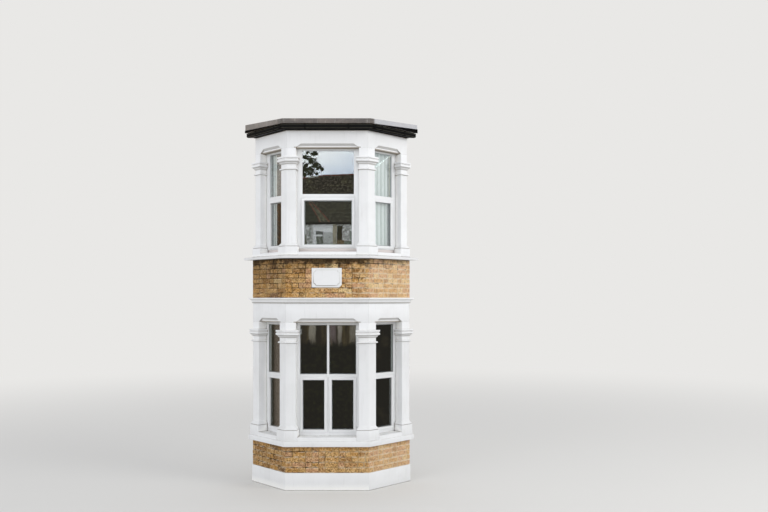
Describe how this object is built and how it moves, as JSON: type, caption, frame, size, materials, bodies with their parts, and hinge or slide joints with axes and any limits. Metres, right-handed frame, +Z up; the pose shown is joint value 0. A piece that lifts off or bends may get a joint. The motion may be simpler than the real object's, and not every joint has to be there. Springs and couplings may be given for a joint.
{
  "type": "two-storey canted bay window",
  "caption": "Canted bay window over two storeys with moulded piers, brick panels, sills, cornice, sash frames and a lead flat roof, cut flat at the house wall.",
  "frame": {"origin": "on the ground, under the middle of the part's bounding box", "axes": "+X to the right seen from the street, +Y from the street towards the house, +Z up"},
  "size_m": [3.1192, 0.807, 6.356],
  "materials": {
    "painted_stone": "white masonry paint over render and cast stone",
    "stock_brick": "weathered yellow stock brick with buff mortar",
    "white_plastic": "smooth white window plastic",
    "window_glass": "clear sealed glass units",
    "timber": "sawn softwood",
    "plasterboard": "matt painted plaster",
    "curtain_cloth": "plain woven cloth",
    "black_fascia": "black painted board",
    "black_gutter": "black moulded plastic",
    "lead_sheet": "weathered lead"
  },
  "bodies": {
    "root": {"plinth": "painted_stone", "ground_wall_left": "stock_brick", "ground_wall_front": "stock_brick", "ground_wall_right": "stock_brick", "ground_sill": "painted_stone", "ground_pier_left_end": "painted_stone", "ground_pier_left_corner": "painted_stone", "ground_pier_right_corner": "painted_stone", "ground_pier_right_end": "painted_stone", "ground_lintel_left": "painted_stone", "ground_lintel_front": "painted_stone", "ground_lintel_right": "painted_stone", "ground_cornice": "painted_stone", "upper_wall_left": "stock_brick", "upper_wall_front": "stock_brick", "upper_wall_right": "stock_brick", "plaque": "painted_stone", "upper_sill": "painted_stone", "upper_pier_left_end": "painted_stone", "upper_pier_left_corner": "painted_stone", "upper_pier_right_corner": "painted_stone", "upper_pier_right_end": "painted_stone", "upper_lintel_left": "painted_stone", "upper_lintel_front": "painted_stone", "upper_lintel_right": "painted_stone", "ground_frame_left": "white_plastic", "ground_frame_front": "white_plastic", "ground_frame_right": "white_plastic", "ground_sashes": "white_plastic", "ground_glass": "window_glass", "upper_frame_left": "white_plastic", "upper_frame_front": "white_plastic", "upper_frame_right": "white_plastic", "upper_sashes": "white_plastic", "upper_glass": "window_glass", "window_boards": "white_plastic", "ground_floor": "timber", "ground_ceiling": "plasterboard", "upper_floor": "timber", "upper_ceiling": "plasterboard", "curtain_track": "white_plastic", "curtain_left": "curtain_cloth", "curtain_right": "curtain_cloth", "roof_frame": "timber", "fascia": "black_fascia", "gutter": "black_gutter", "roof_deck": "timber", "lead_roof": "lead_sheet"}
  },
  "joints": []
}
